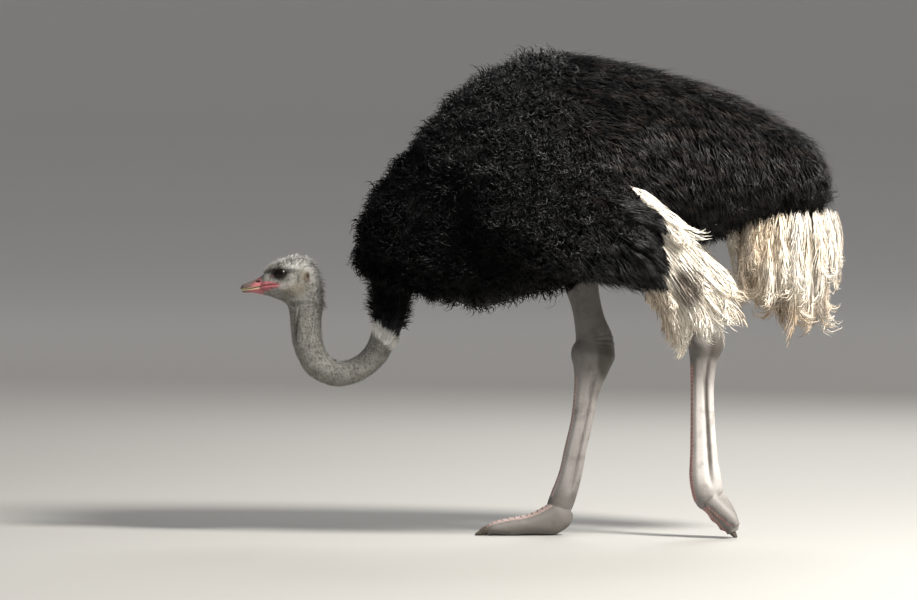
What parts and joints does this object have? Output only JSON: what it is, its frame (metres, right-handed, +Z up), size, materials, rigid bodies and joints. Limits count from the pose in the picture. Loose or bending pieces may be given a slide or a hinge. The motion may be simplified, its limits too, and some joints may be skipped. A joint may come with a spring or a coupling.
{
  "type": "male ostrich, still life-size model",
  "caption": "Life-size still male ostrich walking with its neck lowered in a U, black body, and white wing and tail plumes.",
  "frame": {"origin": "on the floor, under the middle of the bird's bounding box", "axes": "-X the way the bird walks and its bill points, -Y its left side, +Z up"},
  "size_m": [1.7132, 0.657, 1.3874],
  "materials": {
    "grey_down": "short matte bristly down over grey skin",
    "white_down": "pale matte down",
    "black_feather": "loose black feathers with a soft sheen",
    "white_feather": "soft matte cream-white plumes",
    "leg_skin": "grey scaly skin, slightly waxy",
    "claw": "dark worn horn",
    "bill": "pink-red horn with a grey-brown tip",
    "eye": "wet dark brown eye"
  },
  "bodies": {
    "root": {"head": "grey_down", "ear_left": "grey_down", "ear_right": "grey_down", "neck_upper": "grey_down", "neck_bend": "grey_down", "neck_lower": "grey_down", "collar": "white_down", "neck_base": "black_feather", "breast": "black_feather", "trunk": "black_feather", "tail": "black_feather", "wing_left": "black_feather", "wing_right": "black_feather", "wing_plumes_left": "white_feather", "wing_plumes_right": "white_feather", "tail_plumes": "white_feather", "shank_left": "leg_skin", "tarsus_left": "leg_skin", "toe_large_left": "leg_skin", "toe_small_left": "leg_skin", "shank_right": "leg_skin", "tarsus_right": "leg_skin", "toe_large_right": "leg_skin", "toe_small_right": "leg_skin", "claw_left": "claw", "claw_right": "claw", "bill_upper": "bill", "bill_lower": "bill", "eye_left": "eye", "eye_right": "eye"}
  },
  "joints": []
}
